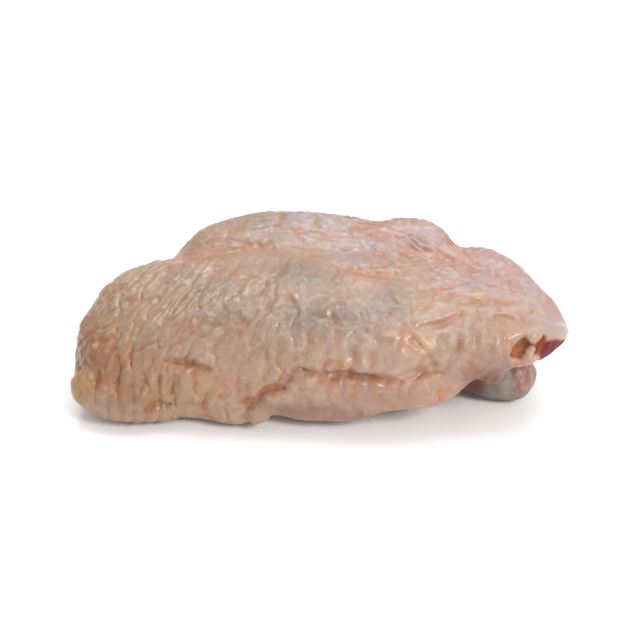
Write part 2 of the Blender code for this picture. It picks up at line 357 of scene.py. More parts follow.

# Creases, in the same terms as the grooves of the bone; their stain is partly painted shade.
CREASES = (
    # Valley between the upper arm and the forearm.
    (-38.5, 12.4, -22.0, 14.9, -0.5, 0.7, 0.46, 0.1, 0.69),
    (-22.5, 14.6, -12.5, 17.0, 0.2, 0.6, 0.34, 0.1, 0.65),
    (-22.5, 15.0, -15.5, 18.0, 0.2, 0.6, 0.34, 0.05, 0.41),
    (-9.5, 15.2, -1.0, 14.2, 0.2, 0.6, 0.29, 0.05, 0.28),
    (-1.0, 14.0, 5.0, 13.2, 0.2, 0.6, 0.34, 0.1, 0.36),
    (4.0, 13.3, 15.5, 12.0, -0.2, 0.7, 0.75, 0.15, 0.81),
    (15.0, 12.1, 20.5, 10.7, 0.2, 0.6, 0.4, 0.1, 0.41),
    (-37.0, 11.1, -31.5, 11.7, -0.2, 0.7, 0.11, 0.0, 0.61),
    # Wrinkles along the forearm.
    (-17.5, 19.2, -12.5, 19.8, 0.2, 0.6, 0.22, 0.05, 0.45),
    (-11.0, 19.8, -3.0, 20.2, 0.3, 0.6, 0.25, 0.05, 0.4),
    (-3.5, 19.8, 4.5, 18.5, 0.2, 0.6, 0.25, 0.05, 0.4),
    (-10.0, 21.2, -5.0, 21.4, 0.1, 0.5, 0.15, 0.05, 0.3),
    (-8.0, 17.3, -2.0, 16.0, 0.2, 0.6, 0.2, 0.05, 0.2),
    (3.5, 16.5, 11.0, 15.6, -0.3, 0.7, 0.25, 0.05, 0.2),
    (-28.5, 15.7, -24.0, 18.3, 0.3, 0.6, 0.22, 0.05, 0.1),
    (-24.5, 17.0, -20.5, 19.5, 0.3, 0.6, 0.2, 0.05, 0.15),
    # Valley below the web's raised edge.
    (6.5, 22.0, 22.0, 18.3, -0.5, 0.5, 0.23, 0.05, 0.59),
    (9.0, 22.9, 17.0, 20.3, -0.2, 0.5, 0.17, 0.05, 0.33),
    (21.5, 18.4, 36.0, 15.5, -0.3, 0.5, 0.29, 0.05, 0.36),
    (18.5, 17.4, 20.0, 15.2, 0.2, 0.4, 0.4, 0.05, 0.26),
    (35.0, 14.5, 43.5, 12.0, -0.2, 0.4, 0.32, 0.05, 0.2),
    (26.0, 20.5, 34.0, 18.5, 0.2, 0.6, 0.21, 0.0, 0.07),
    # Folds that fan out from the shoulder.
    (20.5, 9.8, 24.5, 9.2, -0.2, 0.6, 0.36, 0.06, 0.39),
    (24.0, 9.4, 29.5, 10.8, -0.2, 0.6, 0.62, 0.1, 0.8),
    (30.0, 9.5, 36.0, 10.3, -0.2, 0.5, 0.32, 0.06, 0.33),
    (36.5, 10.6, 41.0, 10.1, 0.2, 0.5, 0.25, 0.06, 0.2),
    (27.0, 7.6, 33.0, 8.4, 0.3, 0.6, 0.5, 0.1, 0.6),
    (32.8, 8.5, 38.2, 8.2, -1.0, 0.6, 0.62, 0.12, 0.75),
    (38.2, 8.2, 43.5, 8.5, -0.9, 0.6, 0.6, 0.12, 0.75),
    (21.5, 0.6, 26.0, 2.0, 0.2, 0.6, 0.32, 0.09, 0.33),
    (25.0, 1.7, 31.5, 5.0, -0.6, 0.7, 0.61, 0.15, 0.65),
    (38.3, 3.5, 42.0, 4.3, 0.5, 0.5, 0.45, 0.08, 0.55),
    (41.5, 4.3, 46.5, 4.2, -0.5, 0.5, 0.48, 0.08, 0.55),
    (40.0, 1.2, 45.8, 2.5, -0.5, 0.5, 0.38, 0.08, 0.45),
    (43.5, 5.4, 47.5, 5.9, 0.2, 0.5, 0.22, 0.06, 0.2),
    (20.2, -1.9, 23.0, -3.4, 0.2, 0.6, 0.53, 0.06, 0.65),
    (22.7, -3.2, 26.5, -8.7, 0.3, 0.6, 0.46, 0.06, 0.52),
    (21.0, -2.0, 25.7, -2.2, 0.3, 0.4, 0.25, 0.06, 0.45),
    (13.8, -3.2, 16.8, -2.8, 0.5, 0.7, 0.29, 0.15, 0.39),
    (13.9, 8.4, 16.5, 9.0, -0.5, 0.4, 0.22, 0.06, 0.39),
    (20.5, 6.0, 20.6, 1.2, 0.2, 0.4, 0.25, 0.0, 0.29),
    # Ridges of the shoulder.
    (31.5, 4.5, 30.2, -5.0, 0.4, 0.8, 0.26, 0.0, 0.2),
    (35.3, 3.0, 34.2, -6.5, -0.3, 0.8, 0.4, 0.0, 0.25),
    (38.5, 1.5, 37.6, -7.5, 0.3, 0.8, 0.35, 0.0, 0.2),
    (41.3, 0.5, 41.0, -5.0, 0.2, 0.7, 0.48, 0.0, 0.45),
    (33.0, -5.5, 36.0, -8.5, -0.4, 0.7, 0.5, 0.12, 0.5),
    (28.5, 2.0, 27.6, -5.5, 0.3, 0.7, 0.18, 0.0, 0.15),
    # Along the top of the hem.
    (-17.2, -19.8, -13.3, -18.2, 0.3, 0.8, 0.86, 0.2, 0.9),
    (-14.0, -18.4, -10.3, -15.2, 0.5, 0.8, 1.08, 0.25, 0.95),
    (-10.8, -15.4, -7.7, -15.3, 0.2, 0.8, 1.19, 0.4, 1.0),
    (-4.5, -10.0, 0.5, -11.2, -0.4, 0.8, 0.92, 0.3, 1.0),
    (-0.5, -11.2, 6.5, -10.7, 0.2, 0.7, 0.65, 0.25, 0.56),
    (5.5, -10.8, 11.5, -10.8, 0.1, 0.8, 0.97, 0.3, 0.78),
    (10.5, -10.8, 20.5, -11.3, -0.3, 0.8, 0.97, 0.45, 1.0),
    (19.5, -11.2, 24.0, -9.0, -0.3, 0.7, 0.65, 0.15, 0.62),
    (23.0, -9.2, 29.0, -9.0, 0.2, 0.7, 0.49, 0.15, 0.45),
    (-0.6, -13.3, 5.0, -12.0, 0.3, 0.8, 0.97, 0.2, 1.0),
    (26.5, -13.8, 30.5, -12.4, 0.2, 0.6, 0.49, 0.15, 0.9),
    (12.2, -15.0, 20.5, -17.3, -1.2, 0.9, 0.32, 0.1, 0.17),
    (1.0, -19.3, 6.5, -20.6, 0.2, 0.7, 0.43, 0.1, 0.11),
    (-8.0, -13.9, -5.4, -10.3, -0.2, 0.6, 0.65, 0.1, 0.9),
    (-8.6, -13.5, -7.4, -10.2, 0.3, 0.5, 0.43, 0.05, 0.45),
    (-4.5, -15.0, -1.0, -14.9, 0.2, 0.5, 0.38, 0.05, 0.5),
    # Columns that hang over the hem.
    (3.2, -0.8, 3.9, -5.0, -0.3, 0.8, 0.45, 0.0, 0.45),
    (7.4, -5.0, 7.2, -10.4, 0.3, 0.8, 0.65, 0.0, 0.7),
    (2.6, -5.0, 0.8, -9.6, -0.3, 0.8, 0.45, 0.0, 0.3),
    (11.6, -4.5, 11.2, -9.6, 0.4, 0.8, 0.5, 0.0, 0.35),
    (14.9, -6.6, 13.4, -10.2, 0.3, 0.7, 0.45, 0.0, 0.4),
    (20.3, -3.0, 20.2, -9.5, -0.4, 0.8, 0.35, 0.0, 0.25),
    (17.3, -3.0, 17.4, -5.2, 0.1, 0.5, 0.3, 0.0, 0.3),
    (-3.2, -3.8, -1.2, -4.4, -0.3, 0.6, 0.3, 0.1, 0.6),
    # Fold across the sag, with the pleats under it.
    (-37.5, -10.3, -30.0, -10.8, -0.5, 1.0, 0.78, 0.3, 0.73),
    (-31.5, -10.5, -24.5, -12.0, -0.4, 1.2, 1.46, 0.6, 0.89),
    (-29.2, -12.3, -28.2, -16.2, 0.3, 0.7, 0.6, 0.0, 0.76),
    (-27.3, -20.6, -25.4, -16.3, -0.4, 0.8, 0.91, 0.0, 1.0),
    (-22.8, -18.6, -21.2, -16.6, 0.2, 0.7, 0.68, 0.0, 1.0),
    (-19.7, -14.0, -18.4, -16.8, 0.3, 0.7, 0.6, 0.0, 0.62),
    (-16.8, -14.5, -16.2, -18.8, 0.3, 0.8, 0.68, 0.0, 0.55),
    (-12.8, -12.5, -13.2, -16.8, 0.3, 0.8, 0.53, 0.0, 0.35),
    # Pleats at the elbow.
    (-53.4, -19.0, -51.0, -13.2, -0.6, 0.7, 0.99, 0.0, 1.0),
    (-57.2, -16.5, -54.6, -13.2, -0.2, 0.7, 0.74, 0.0, 1.0),
    (-47.5, -19.6, -46.3, -12.0, -0.3, 0.9, 1.07, 0.0, 0.72),
    (-43.6, -13.2, -43.4, -8.3, 0.2, 0.8, 0.74, 0.0, 0.65),
    (-41.4, -18.6, -40.9, -13.2, -0.3, 0.8, 0.83, 0.0, 0.57),
    (-39.7, -13.6, -38.5, -9.3, -0.2, 0.7, 0.74, 0.0, 0.86),
    (-37.6, -19.4, -36.2, -12.4, 0.3, 0.8, 0.66, 0.0, 0.43),
    (-33.6, -18.6, -33.2, -12.6, 0.4, 0.8, 0.66, 0.0, 0.5),
    (-51.7, -9.8, -50.2, -6.3, 0.2, 0.7, 0.66, 0.0, 0.79),
    (-49.2, -10.2, -47.3, -6.0, 0.2, 0.8, 0.74, 0.0, 0.79),
    (-44.0, -22.0, -43.0, -16.0, 0.3, 0.8, 0.57, 0.0, 0.22),
    (-40.8, -23.2, -38.0, -20.4, -0.3, 0.7, 1.15, 0.0, 1.0),
    (-38.2, -20.4, -33.0, -20.0, -0.4, 0.7, 0.83, 0.2, 0.57),
    # Leaning ridges above the elbow.
    (-50.3, 1.8, -46.5, 5.2, 0.2, 0.6, 0.45, 0.05, 0.6),
    (-45.3, 0.3, -41.3, 4.0, 0.2, 0.6, 0.42, 0.05, 0.4),
    (-48.0, -1.5, -44.2, 2.3, 0.2, 0.6, 0.35, 0.05, 0.25),
    (-43.4, -1.6, -39.6, 2.8, -0.2, 0.7, 0.5, 0.05, 0.35),
    (-42.6, -4.6, -40.0, -0.8, 0.2, 0.7, 0.4, 0.05, 0.15),
    (-40.2, -0.5, -36.6, 5.0, 0.2, 0.7, 0.45, 0.05, 0.2),
    (-38.2, -5.0, -34.2, 1.5, 0.2, 0.7, 0.45, 0.05, 0.2),
    (-35.2, -8.2, -32.6, -3.2, 0.2, 0.7, 0.4, 0.05, 0.25),
    (-32.4, -7.6, -29.6, -2.4, 0.2, 0.7, 0.35, 0.05, 0.2),
    (-33.6, 1.5, -30.0, 6.2, 0.2, 0.6, 0.35, 0.05, 0.25),
    (-27.6, 6.5, -23.4, 11.3, 0.2, 0.6, 0.35, 0.05, 0.2),
    (-25.4, -9.2, -20.6, -1.4, 0.5, 0.7, 0.55, 0.1, 0.55),
    (-20.6, -1.5, -16.6, -1.2, 0.4, 0.6, 0.35, 0.1, 0.45),
    (-17.2, -10.4, -15.0, -7.2, 0.2, 0.6, 0.4, 0.05, 0.45),
    (-25.8, -2.6, -22.6, 2.8, 0.2, 0.6, 0.35, 0.05, 0.35),
    (-20.0, 5.0, -17.0, 10.8, 0.2, 0.6, 0.35, 0.05, 0.15),
    (-17.3, -1.2, -14.8, 2.6, 0.2, 0.6, 0.35, 0.05, 0.25),
    (-13.8, 1.6, -10.6, 6.6, 0.2, 0.6, 0.4, 0.05, 0.35),
    (-9.6, 7.5, -6.2, 2.5, 0.3, 0.7, 0.45, 0.0, 0.1),
    (-4.2, 6.5, -3.4, 1.5, 0.3, 0.6, 0.3, 0.0, 0.1),
    (1.3, 2.6, 3.2, -0.6, 0.2, 0.8, 0.45, 0.0, 0.05),
    (4.8, 6.8, 4.4, 3.0, 0.2, 0.5, 0.3, 0.0, 0.1),
    (12.8, 6.4, 12.0, 2.2, -0.3, 0.6, 0.35, 0.0, 0.15),
)
CREASE_SHARE = 0.72

# How far creases stray from their lines: size of the stray's lumps in metres, and its reach.
CREASE_JITTER = ((0.0030, 0.38), (0.0011, 0.10))

# Where the solid's valleys are filled: the line, how far from it and by what share.
SLACK_LINES = (
    (((2, 24), (7, 22.2), (22, 18.8), (37, 15.6), (44, 12.5)), 3.2, 1.0),
    (((-33, 14.2), (-22, 16.0), (-12, 17.5)), 2.4, 0.6),
)
SLACK_SMOOTHING = 260

# Rolls, like the creases but raised: the cut's lower lip, and the hem's below its top line.
ROLLS = (
    (42.6, -5.4, 48.6, -4.8, -0.3, 1.0, 0.5, 0.0, 0.0),
    (-1.0, -13.6, 25.0, -12.6, -0.4, 2.2, 0.7, 0.0, 0.0),
)

# Puffs of skin as the middle's (x, up), half length, half width, degrees from level, height.
PUFFS = (
    # Sag and elbow.
    (-29.7, -14.8, 4.0, 2.7, 80, 0.75),
    (-29.5, -19.4, 2.2, 2.4, 80, 0.4),
    (-40.5, -19.8, 2.3, 1.3, 75, 0.52),
    (-23.0, -18.2, 3.0, 2.0, 10, 0.3),
    (-13.2, -21.8, 2.2, 1.9, -20, 1.15),
    (-14.7, -15.8, 2.6, 1.6, 60, 0.4),
    (-10.2, -17.6, 3.2, 2.0, 15, 0.65),
    (-6.4, -17.4, 2.3, 1.3, 80, 0.3),
    (-54.6, -15.8, 4.0, 2.0, 80, 0.62),
    (-49.5, -17.6, 4.5, 1.9, 85, 0.58),
    (-44.9, -16.4, 3.8, 1.5, 85, 0.58),
    (-33.0, -21.6, 5.5, 1.4, 25, 0.25),
    # Columns over the hem.
    (2.6, -6.4, 3.6, 1.5, 75, 0.45),
    (5.6, -5.4, 4.4, 1.5, 88, 0.45),
    (9.9, -6.2, 4.0, 1.8, 88, 0.55),
    (14.2, -7.6, 2.6, 1.5, 78, 0.4),
    (18.4, -6.6, 3.8, 2.5, 80, 0.6),
    (15.5, -1.9, 1.8, 0.8, 0, 0.4),
    # Shoulder.
    (28.2, -2.4, 4.4, 1.5, 75, 0.4),
    (32.7, -0.8, 3.8, 1.3, 80, 0.4),
    (36.9, -1.8, 3.8, 1.2, 98, 0.4),
    (39.9, -3.8, 3.4, 1.1, 95, 0.35),
    (36.8, -6.6, 2.4, 1.5, 50, 0.35),
    (30.0, -7.8, 2.8, 1.3, 65, 0.3),
    # Upper lip of the cut, and the lobe of skin that hangs into it.
    (52.2, 1.9, 3.4, 1.8, 0, 0.75),
    (47.8, 0.4, 1.6, 1.1, 0, 0.85),
)

# Hem along the front: the ends of its top line and how its scallops are spaced, in millimetres.
HEM_TOP = ((-3.0, -11.5), (11.0, -11.8), (21.0, -11.6), (28.0, -10.5))
SCALLOP_PITCH = 3.1
SCALLOP_HEIGHT = 0.55
SCALLOP_REACH = 2.2

# Upright pleats low on the elbow, in millimetres.
PLEAT_PITCH = 3.0
PLEAT_HEIGHT = 0.50

# The cut across the shoulder as (x, up) from the eye, in millimetres: the hollow's rim, the slit
# beside it, the red meat, the gap under them painted as a dark shadow, the meat round the bone, and the
# sinews.
RECESS = (
    (42.7, -4.4), (43.5, -2.3), (44.6, -0.6), (45.9, 0.5), (46.8, -0.2), (47.3, -1.0), (48.4, -1.0),
    (49.3, 0.1), (49.8, 1.3), (50.6, 0.7), (50.0, -1.1), (49.1, -3.9), (48.2, -3.5), (48.4, -1.8),
    (47.6, -1.6), (46.9, -1.9), (46.2, -3.2), (45.5, -4.8), (44.0, -5.1),
)
RECESS_DEPTH = 1.3
SLIT = (50.2, 0.9, 48.7, -4.0, 0.3, 0.45, 0.9, 0.0, 1.0)
MEAT = (
    (49.4, -5.2), (49.4, -3.0), (50.0, -1.0), (50.6, -0.3),
    (52.0, 0.1), (57.0, 0.9), (57.0, -6.0), (50.0, -7.0),
)
GAP_SHADOW = ((47.9, -6.1), (48.6, -5.3), (52.0, -4.9), (52.0, -7.5), (49.2, -7.2))
LOWER_MEAT = ((33.8, -11.8), (3.2, 2.1))
LOWER_MEAT_EDGE = (0.0100, 0.0075)
SINEWS = (
    (46.2, -2.2, 47.0, -4.3, 0.2, 0.22, 0.3, 0.0, 0.7),
    (47.8, -1.6, 47.5, -4.2, -0.2, 0.22, 0.3, 0.0, 0.7),
    (48.5, -2.0, 48.3, -4.2, 0.1, 0.2, 0.35, 0.0, 0.7),
    (42.6, -5.6, 44.6, -4.6, 0.1, 0.25, 0.35, 0.0, 0.9),
)

# Marks on the skin as middle, half sizes and turn, the dent's depth, and beads of fat under it
# as middle, radius and height.
BRUISE = ((51.6, 7.2), (1.2, 3.4), math.radians(25))
GREY_DENT = ((3.0, 1.6), (6.5, 2.0), math.radians(-6), 0.45)
FAT_BEADS = (
    (24.2, -2.9, 1.2, 0.45),
    (22.9, -2.0, 0.8, 0.3),
    (23.4, -4.4, 0.7, 0.25),
)

# Undertones of the skin, and painted shade under the shoulder, one broad oval after another: middle (x,
# up), half sizes, share, colour.
BASE_TONE = (0.34, 0.225, 0.165)
UNDERTONES_AND_SHADE = (
    # Elbow, tan and reddish, with yellow fat low down.
    (-50, -9, 14, 16, 0.95, (0.236, 0.134, 0.07)),
    (-53, -9, 4, 6, 0.72, (0.196, 0.07, 0.03)),
    (-55, -18, 4, 5, 0.75, (0.288, 0.194, 0.074)),
    (-42, 1, 12, 8, 0.8, (0.298, 0.213, 0.148)),
    (-42, -20, 7, 4, 0.78, (0.205, 0.115, 0.056)),
    (-30, -17, 9, 6, 0.8, (0.306, 0.182, 0.085)),
    (-16, -17, 6, 5, 0.75, (0.28, 0.172, 0.102)),
    # Upper arm, beige, and greyest about the wing's middle.
    (-22, 2, 12, 8, 0.9, (0.2, 0.144, 0.096)),
    (-28, 9, 9, 4, 0.6, (0.222, 0.176, 0.124)),
    (-12, -8, 11, 5, 0.82, (0.284, 0.188, 0.123)),
    (0, 1.5, 13, 6, 0.95, (0.177, 0.141, 0.113)),
    (-6, 11, 10, 4, 0.75, (0.188, 0.158, 0.132)),
    (15, 5, 7, 5, 0.8, (0.19, 0.15, 0.13)),
    (8, -6, 11, 4, 0.82, (0.32, 0.238, 0.194)),
    (12, -14, 18, 3, 0.8, (0.304, 0.16, 0.107)),
    (0, -20, 14, 2.5, 0.85, (0.23, 0.122, 0.092)),
    (0, -14.5, 5, 2.5, 0.75, (0.345, 0.234, 0.174)),
    # Forearm, paler and cooler to the right.
    (-28, 18, 6, 5, 0.85, (0.29, 0.184, 0.134)),
    (-13, 21, 9, 5, 0.9, (0.245, 0.21, 0.19)),
    (-1, 23, 8, 3, 0.88, (0.318, 0.298, 0.322)),
    (7, 17, 8, 4, 0.85, (0.296, 0.263, 0.273)),
    (20, 21, 10, 4, 0.88, (0.36, 0.288, 0.325)),
    # Web and shoulder, pinker.
    (37, 16, 11, 5, 0.88, (0.362, 0.262, 0.272)),
    (28, 12, 9, 4, 0.82, (0.334, 0.268, 0.27)),
    (47, 11, 4, 3, 0.8, (0.328, 0.268, 0.312)),
    (42, 8, 8, 4, 0.8, (0.35, 0.286, 0.284)),
    (35, 0, 10, 6, 0.88, (0.276, 0.178, 0.142)),
    (41, -6, 6, 3, 0.78, (0.22, 0.13, 0.124)),
    # Painted shade under the shoulder, over the flap that hangs there.
    (39, -9.8, 7, 3.0, 0.95, (0.126, 0.034, 0.021)),
    (52, 3, 4, 2.5, 0.85, (0.31, 0.255, 0.25)),
)


def store_colour(thing, name, colours):
    kept = thing.data.attributes.new(name, "FLOAT_COLOR", "POINT")
    kept.data.foreach_set("color", np.c_[colours, np.ones(len(colours))].astype(np.float32).ravel())


def in_oval(view, middle, radii, turn=0.0):
    """0 at the middle of an oval and 1 on its rim."""
    offset = view - np.array(middle)
    along = (offset[:, 0] * math.cos(turn) + offset[:, 1] * math.sin(turn)) / radii[0]
    across = (offset[:, 1] * math.cos(turn) - offset[:, 0] * math.sin(turn)) / radii[1]
    return np.sqrt(along**2 + across**2)


def grown_plug():
    """Fills the hollow that the hidden part of the bone leaves in the meat."""
    plug = clean_copy("humerus", "plug")
    overlap = 0.0009
    swollen = points_of(plug) + normals_of(plug) * overlap
    mouth = 0.026
    swollen[:, 0] = np.minimum(swollen[:, 0], mouth)
    move_points(plug, swollen)
    return plug


def dense_skin():
    """The wing's solid with a fine, even mesh, without the hollow round the bone's shaft."""
    skin = clean_copy("wing", "wing_skin")
    plug = grown_plug()
    whole = bmesh.new()
    whole.from_mesh(skin.data)
    whole.from_mesh(plug.data)
    whole.to_mesh(skin.data)
    whole.free()
    bpy.data.objects.remove(plug)
    remesh = skin.modifiers.new("fine mesh", "REMESH")
    remesh.mode = "VOXEL"
    remesh.voxel_size = SKIN_VOXEL
    soften = skin.modifiers.new("soften", "SMOOTH")
    soften.factor = 0.5
    soften.iterations = SKIN_SOFTENING
    bake_modifiers(skin)
    return skin


def fill_valleys(skin):
    """Draws the skin smooth over the valleys of the plain solid, where it lies full in the real one."""
    points = points_of(skin)
    view = seen_from_eye(points)
    facing = facing_eye(points, normals_of(skin))
    slack = skin.vertex_groups.new(name="slack")
    reach = np.zeros(len(points))
    for line, width, share in SLACK_LINES:
        line = np.array(line)
        for start, end in zip(line[:-1], line[1:]):
            run = end - start
            offset = view - start
            along = np.clip((offset @ run) / (run @ run), 0, 1)
            gap = np.linalg.norm(offset - along[:, None] * run, axis=1)
            reach = np.maximum(reach, share * np.exp(-((gap / width) ** 4)))
    reach *= facing
    for index in np.nonzero(reach > 0.02)[0]:
        slack.add([int(index)], float(reach[index]), "REPLACE")
    draw = skin.modifiers.new("slack", "SMOOTH")
    draw.factor = 0.5
    draw.iterations = SLACK_SMOOTHING
    draw.vertex_group = "slack"
    bake_modifiers(skin)


def puffed(view, puffs):
    """How far the named puffs stand out at each point, in millimetres."""
    rise = np.zeros(len(view))
    for x, up, half_length, half_width, degrees, height in puffs:
        oval = in_oval(view, (x, up), (half_length, half_width), math.radians(degrees))
        rise += height * np.exp(-(oval**2.6))
    return rise


def scalloped_hem(view, strayed, uneven):
    """The little pleats along the top of the hem, in millimetres."""
    hem = np.array(HEM_TOP)
    below = np.interp(view[:, 0], hem[:, 0], hem[:, 1]) - strayed[:, 1]
    on_hem = smooth_step(view[:, 0], -6, 0) * smooth_step(view[:, 0], 30, 25)
    place = strayed[:, 0] + 0.35 * below + 1.6 * uneven
    scallop = np.sqrt(np.abs(np.sin(math.pi * place / SCALLOP_PITCH))) * (0.75 + 0.5 * uneven)
    return SCALLOP_HEIGHT * on_hem * scallop * np.exp(-(((below - 1.2) / SCALLOP_REACH) ** 2))


def hanging_pleats(view, strayed, uneven):
    """Where pleats hang low on the elbow, and how far up a pleat each point is, from 0 to 1."""
    there = smooth_step(view[:, 0], -61, -57) * smooth_step(view[:, 0], -31, -36)
    there *= smooth_step(view[:, 1], -8, -13)
    place = strayed[:, 0] + 0.10 * strayed[:, 1] + 1.5 * uneven
    pleat = np.sqrt(np.abs(np.sin(math.pi * place / PLEAT_PITCH)))
    return there, pleat


def fold_skin(skin):
    """Works the named folds into the skin, and keeps what the material needs to know."""
    points, normals = points_of(skin), normals_of(skin)
    view = seen_from_eye(points)
    facing = facing_eye(points, normals)
    jitter = np.zeros_like(view)
    for size, reach in CREASE_JITTER:
        jitter[:, 0] += reach * lumps(points, size, 3.0)
        jitter[:, 1] += reach * lumps(points, size, 11.0)
    strayed = view + jitter

    relief = np.zeros(len(points))
    stain = np.zeros(len(points))
    # Each crease also gives its stain along its line, orange brown and partly painted shade.
    for crease in CREASES:
        depth, colour = arc_relief(strayed, crease)
        relief += CREASE_SHARE * depth
        stain = np.maximum(stain, colour)
    slit, cut = arc_relief(strayed, SLIT)
    relief += slit
    for roll in ROLLS:
        relief -= arc_relief(strayed, roll)[0]
    sinew = np.zeros(len(points))
    for strand in SINEWS:
        height, white = arc_relief(view, strand)
        relief -= height
        sinew = np.maximum(sinew, white)
    relief -= puffed(strayed, PUFFS)
    relief -= scalloped_hem(view, strayed, lumps(points, 0.0055, 21.0))
    pleated, pleat = hanging_pleats(view, strayed, lumps(points, 0.0070, 27.0))
    relief -= PLEAT_HEIGHT * pleated * pleat
    # Painted shade in the pleats' hollows, carried with the crease stain.
    stain = np.maximum(stain, 0.75 * pleated * (1 - pleat) ** 2)

    soft_view = view + 0.5 * jitter
    recess = in_shape(soft_view, RECESS)
    relief += RECESS_DEPTH * smooth_step(recess, -0.3, 0.8)
    middle, radii, turn, depth = GREY_DENT
    dent = np.exp(-(in_oval(strayed, middle, radii, turn) ** 2))
    relief += depth * dent
    fat = np.zeros(len(points))
    for x, up, radius, height in FAT_BEADS:
        bead = np.exp(-(in_oval(strayed, (x, up), (radius, radius)) ** 2.5))
        relief -= height * bead
        fat = np.maximum(fat, bead)
    move_points(skin, points - normals * (facing * relief * MM)[:, None])

    # What the material shows: its marks, the cut's parts and the undertone, with painted shade in the
    # creases, in the gap and under the shoulder.
    shown = smooth_step(facing, 0.05, 0.35)
    meat = smooth_step(in_shape(soft_view, MEAT), -0.4, 0.4)
    lower = np.exp(-(in_oval(view, *LOWER_MEAT) ** 4))
    lower *= smooth_step(points[:, 2], *LOWER_MEAT_EDGE)
    # The crease stain is partly painted shade.
    store(skin, "stain", stain * facing)
    store(skin, "pocket", smooth_step(recess, -0.3, 0.3) * facing)
    # The gap is a painted shadow under the cut.
    store(skin, "gap", smooth_step(in_shape(soft_view, GAP_SHADOW), -0.4, 0.3) * shown)
    store(skin, "slit", cut * facing)
    store(skin, "sinew", sinew * facing)
    store(skin, "meat", np.maximum(meat, lower) * shown)
    store(skin, "fat", fat * facing)
    store(skin, "bruise", np.exp(-(in_oval(view, *BRUISE) ** 2)) * facing)

    tone_and_shade = np.tile(BASE_TONE, (len(points), 1))
    for x, up, half_across, half_up, share, colour in UNDERTONES_AND_SHADE:
        reach = np.exp(-(in_oval(view + 2 * jitter, (x, up), (half_across, half_up)) ** 2.4))
        tone_and_shade += (np.array(colour) - tone_and_shade) * (share * reach * facing)[:, None]
    store_colour(skin, "undertone_and_shade", tone_and_shade)


# Where the limbs part, by what shows from the eye, in millimetres.
VALLEY = ((-60, 9), (-38, 12.4), (-22, 14.8), (-10, 15.4), (4, 13.4), (20, 10.8), (40, 9.5), (60, 6))
WEB_VALLEY = ((-12, 30), (0, 25.5), (7, 22.0), (22, 18.4), (36, 15.4), (48, 9.5), (56, 3.5))


def lay_out_wrinkles(skin):
    """Keeps how far the skin puffs and wrinkles at each point, and which way its ridges run there."""
    points = points_of(skin)
    x, y, z = points.T / MM
    view = seen_from_eye(points)
    across, up = view.T
    valley = np.array(VALLEY)
    web = np.array(WEB_VALLEY)
    above_valley = up - np.interp(across, valley[:, 0], valley[:, 1])
    above_web = up - np.interp(across, web[:, 0], web[:, 1])
    on_forearm = smooth_step(above_valley, -1.0, 1.5)
    on_web = smooth_step(above_web, -0.5, 1.0)

    # Ridges climb from the foot of the wing and lean away from the elbow on their way up. Past
    # the valleys they run along the limb instead, in finer waves.
    climb = 0.43 * y + 0.9 * z
    lean = 0.80 * smooth_step(x, 12, -20) + 0.15 * smooth_step(x, 10, 30)
    bend = 4.0
    start = 2.0
    leaning = bend * np.log1p(np.exp(np.clip((climb - start) / bend, -30, 30)))
    store(skin, "ridge_across", (x - lean * leaning) * MM)
    store(skin, "ridge_along", (climb + 0.3 * x) * MM)
    turned = smooth_step(x, 5, 35)
    store(skin, "wave_across", (climb + 0.35 * turned * (x - 5)) * MM)
    store(skin, "wave_along", x * MM)
    store(skin, "on_forearm", np.maximum(on_forearm, on_web))

    busy = 0.75 + 0.5 * smooth_step(lumps(points, 0.009, 5.0), -0.4, 0.4)
    hem = np.array(HEM_TOP)
    below = np.interp(across, hem[:, 0], hem[:, 1]) - up
    on_hem = smooth_step(below, -0.2, 0.6) * smooth_step(across, -12, -4)
    calm_end = smooth_step(across, 43, 47) * smooth_step(up, 8, 4)

    # Puffs stand highest at the elbow, and lowest on the hem, past the valleys and over the
    # taut muscle. What shows edge on from the eye puffs less, which keeps the outline calm.
    puff = 0.46 + 0.38 * smooth_step(across, -20, -34)
    puff += 0.16 * smooth_step(up, -4, -10) * smooth_step(across, 30, 20)
    puff *= 1 - 0.60 * on_hem
    puff *= 1 - 0.45 * smooth_step(across, -33, -38) * smooth_step(up, -9, -14)
    taut = smooth_step(across, -4, 14)
    puff *= 1 - 0.35 * taut
    puff = puff * (1 - on_forearm) + 0.36 * on_forearm
    puff = puff * (1 - on_web) + 0.24 * on_web
    rays = points - np.array(EYE)
    rays /= np.linalg.norm(rays, axis=1)[:, None]
    turned_away = 1 - smooth_step(np.abs((normals_of(skin) * rays).sum(axis=1)), 0.05, 0.35)
    puff *= 1 - 0.4 * turned_away
    store(skin, "puff", puff * busy * (1 - 0.8 * calm_end) * MM)

    # The elbow's ridges are the narrowest, except low down, and carry the sharpest crests.
    upper_elbow = smooth_step(across, -18, -30) * smooth_step(up, -9, -3)
    fine = 0.18 + 0.57 * smooth_step(across, -22, -36) * (1 - on_forearm)
    fine -= 0.25 * smooth_step(across, -22, -36) * smooth_step(up, -6, -12)
    store(skin, "fine", fine)
    crest = 0.06 + 0.08 * upper_elbow - 0.03 * taut
    crest *= 1 - 0.5 * on_hem
    crest = crest * (1 - on_forearm) + 0.09 * on_forearm
    pebbled = 0.05 + 0.13 * on_forearm * smooth_step(across, -25, 5)
    pebbled += 0.05 * smooth_step(across, 15, 25) * smooth_step(up, 2, 8) * (1 - on_forearm)
    store(skin, "pebbled", pebbled * busy * (1 - 0.7 * calm_end) * MM)
    store(skin, "ruck", crest * busy * (1 - 0.8 * calm_end) * MM)


def interface_id(tree, name):
    return next(item.identifier for item in tree.interface.items_tree if item.name == name)


def named_value(tree, name):
    node = add(tree, "GeometryNodeInputNamedAttribute", data_type="FLOAT")
    node.inputs["Name"].default_value = name
    return node.outputs["Attribute"]


